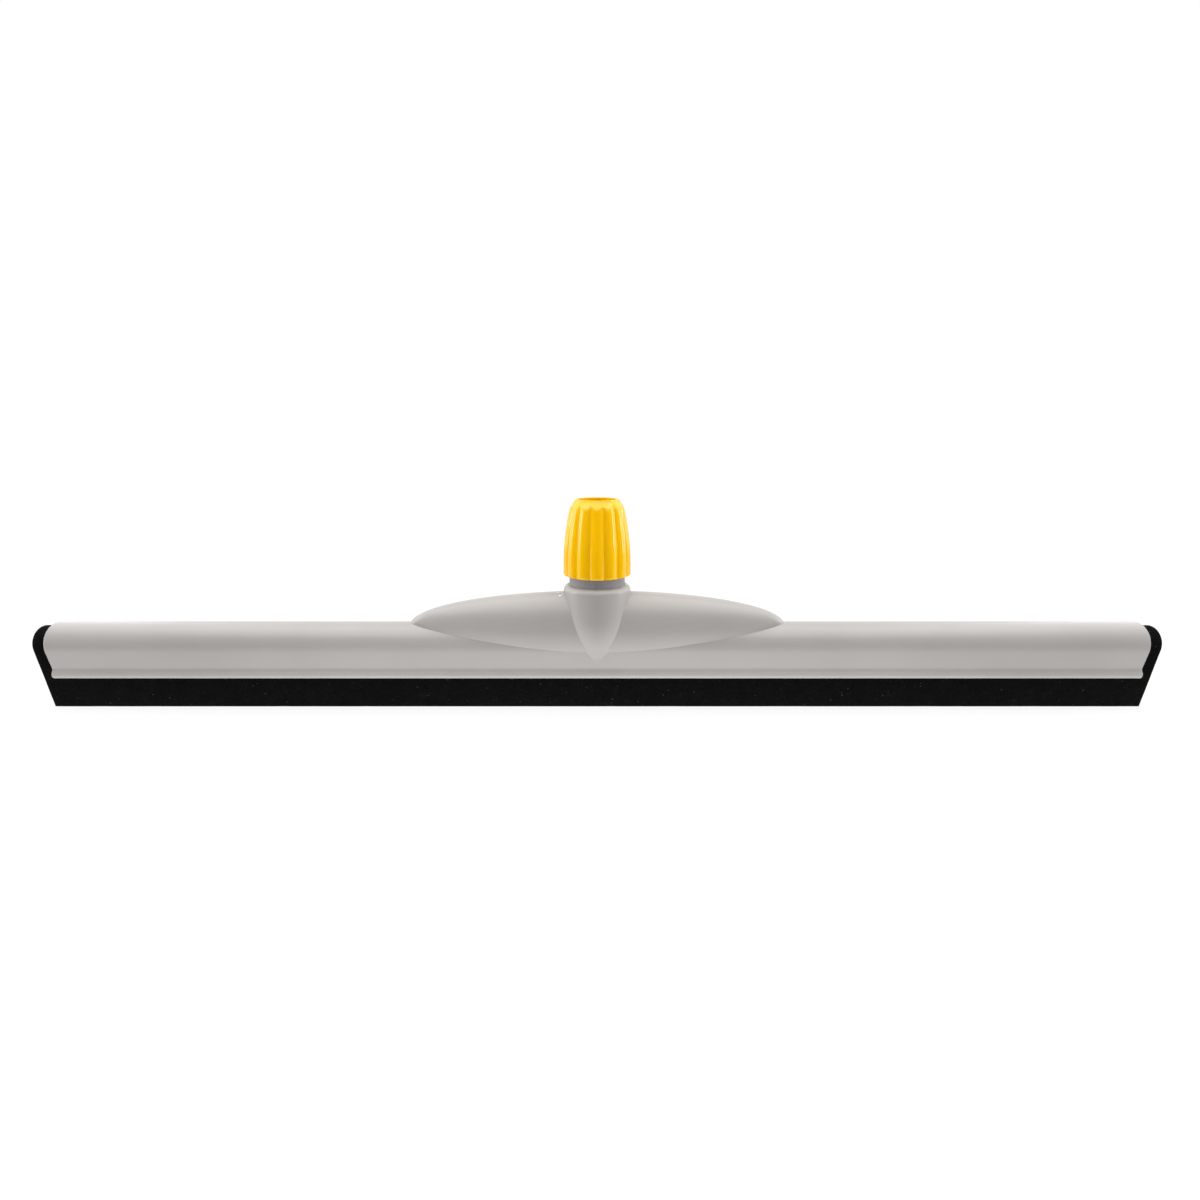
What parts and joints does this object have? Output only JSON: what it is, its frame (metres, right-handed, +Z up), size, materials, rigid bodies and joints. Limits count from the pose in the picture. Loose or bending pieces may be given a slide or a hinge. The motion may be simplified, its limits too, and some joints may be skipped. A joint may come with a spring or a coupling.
{
  "type": "floor squeegee",
  "caption": "Wide floor squeegee head: a moulded channel with a saddle and handle socket, a folded foam blade that slides in from the end, and a fluted ring nut that clamps a round handle.",
  "frame": {"origin": "on the floor, under the handle's axis and midway along the blade", "axes": "+X along the blade, +Z up along the handle's axis, -Y towards the picture's camera"},
  "size_m": [0.75, 0.046, 0.1421],
  "materials": {
    "head_plastic": "satin moulded polypropylene, light warm grey",
    "cellular_rubber": "black closed-cell foam rubber with fine open pores",
    "core_plastic": "plain extruded plastic",
    "collar_plastic": "satin moulded plastic, dark grey",
    "collet_plastic": "satin moulded plastic, dark grey",
    "nut_plastic": "glossy moulded polypropylene, yellow"
  },
  "bodies": {
    "head": {"head_body": "head_plastic", "collar": "collar_plastic"},
    "blade": {"foam_insert": "cellular_rubber", "core_tube": "core_plastic"},
    "grip": {"collet": "collet_plastic"},
    "nut": {"ring_nut": "nut_plastic"}
  },
  "joints": [
    {"name": "blade_slide", "type": "slide", "parent": "head", "child": "blade", "axis": [1, 0, 0], "range_m": [0, 0.76]},
    {"name": "collet_lift", "type": "slide", "parent": "head", "child": "grip", "axis": [0, 0, 1], "range_m": [-0.0002, 0.0062]},
    {"name": "nut_turn", "type": "hinge", "parent": "grip", "child": "nut", "pos_m": [0, 0, 0.11], "axis": [0, 0, 1], "range_deg": [0, 540]}
  ],
  "couplings": [
    {"joint": "collet_lift", "follows": "nut_turn", "m_per_rad": 0.00063662}
  ]
}
